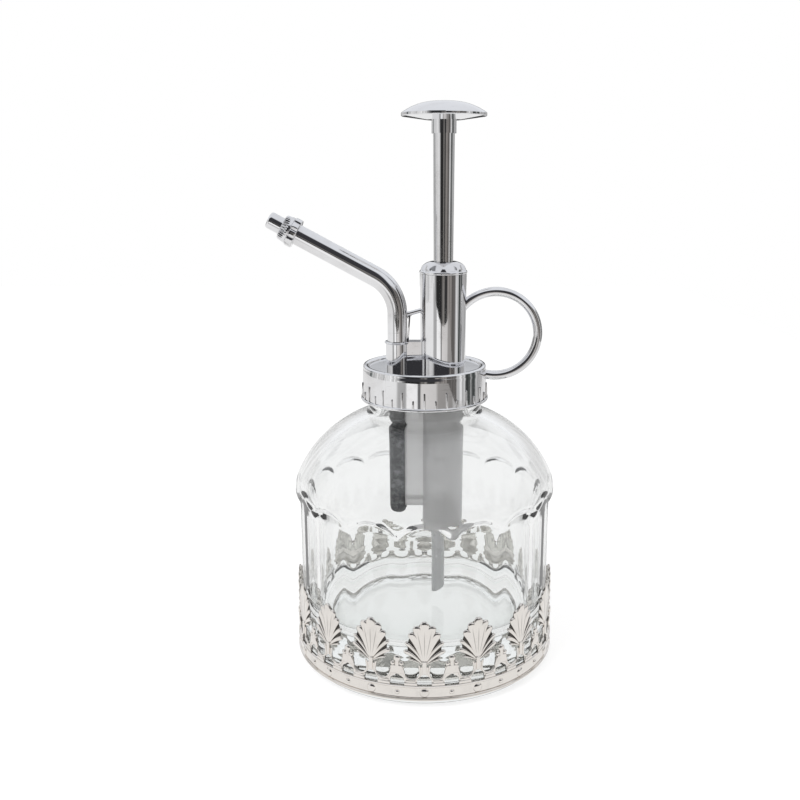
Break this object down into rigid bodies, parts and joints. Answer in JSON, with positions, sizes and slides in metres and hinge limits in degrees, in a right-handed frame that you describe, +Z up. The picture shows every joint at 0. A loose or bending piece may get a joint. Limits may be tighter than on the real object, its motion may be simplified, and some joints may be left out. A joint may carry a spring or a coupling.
{
  "type": "rosewater sprinkler",
  "caption": "Glass sprinkler bottle with a domed shoulder, flat side panels and a stamped palmette band, and a chrome top pump with finger ring, spring plunger and bent spout.",
  "frame": {"origin": "centre of the glass foot on the surface that it stands on", "axes": "+Z up along the bottle's axis, the spout points to -X and the finger ring to +X"},
  "size_m": [0.0857, 0.0798, 0.1654],
  "materials": {
    "clear_glass": "polished pressed glass",
    "stamped_metal": "polished stamped sheet",
    "chrome": "mirror plated",
    "white_plastic": "translucent moulded",
    "dark_plastic": "smooth moulded",
    "tube_plastic": "extruded",
    "rubber": "moulded",
    "steel": "drawn wire and ground balls"
  },
  "bodies": {
    "bottle": {"glass_bottle": "clear_glass", "base_band": "stamped_metal"},
    "gasket": {"neck_gasket": "rubber"},
    "head": {"screw_cap": "chrome", "pump_barrel": "chrome", "gland_nut": "chrome", "rod_seal": "rubber", "rod_guide": "white_plastic", "finger_ring": "chrome", "spout_tube": "chrome", "spout_brace": "chrome", "nozzle_washer": "rubber", "swirl_core": "white_plastic", "pump_cylinder": "white_plastic", "outlet_channel": "dark_plastic", "channel_seal": "rubber", "foot_valve_housing": "white_plastic", "valve_retainer": "white_plastic", "dip_tube": "tube_plastic", "return_spring": "steel"},
    "plunger": {"plunger_rod": "chrome", "rod_collar": "chrome", "thumb_knob": "chrome", "piston": "white_plastic", "piston_seal": "rubber"},
    "nozzle": {"nozzle_collar": "chrome", "nozzle_tip": "chrome"},
    "inlet_check": {"inlet_ball": "steel"},
    "outlet_check": {"outlet_ball": "steel"}
  },
  "joints": [
    {"name": "head_rise", "type": "slide", "parent": "bottle", "child": "gasket", "axis": [0, 0, 1], "range_m": [0, 0.0047]},
    {"name": "head_unscrew", "type": "hinge", "parent": "gasket", "child": "head", "pos_m": [0, 0, 0.087], "axis": [0, 0, 1], "range_deg": [0, 400.1]},
    {"name": "plunger_press", "type": "slide", "parent": "head", "child": "plunger", "axis": [0, 0, -1], "range_m": [0, 0.0345], "stiffness_N_per_m": 300, "springref_m": -0.02, "deforming": ["return_spring"]},
    {"name": "nozzle_twist", "type": "hinge", "parent": "head", "child": "nozzle", "pos_m": [-0.03679, 0, 0.12851], "axis": [-0.8805, 0, 0.4741], "range_deg": [0, 90]},
    {"name": "inlet_ball_lift", "type": "slide", "parent": "head", "child": "inlet_check", "axis": [0, 0, 1], "range_m": [0, 0.001]},
    {"name": "outlet_ball_lift", "type": "slide", "parent": "head", "child": "outlet_check", "axis": [0, 0, 1], "range_m": [0, 0.001]}
  ],
  "couplings": [
    {"joint": "head_unscrew", "follows": "head_rise", "rad_per_m": 1485.4}
  ]
}
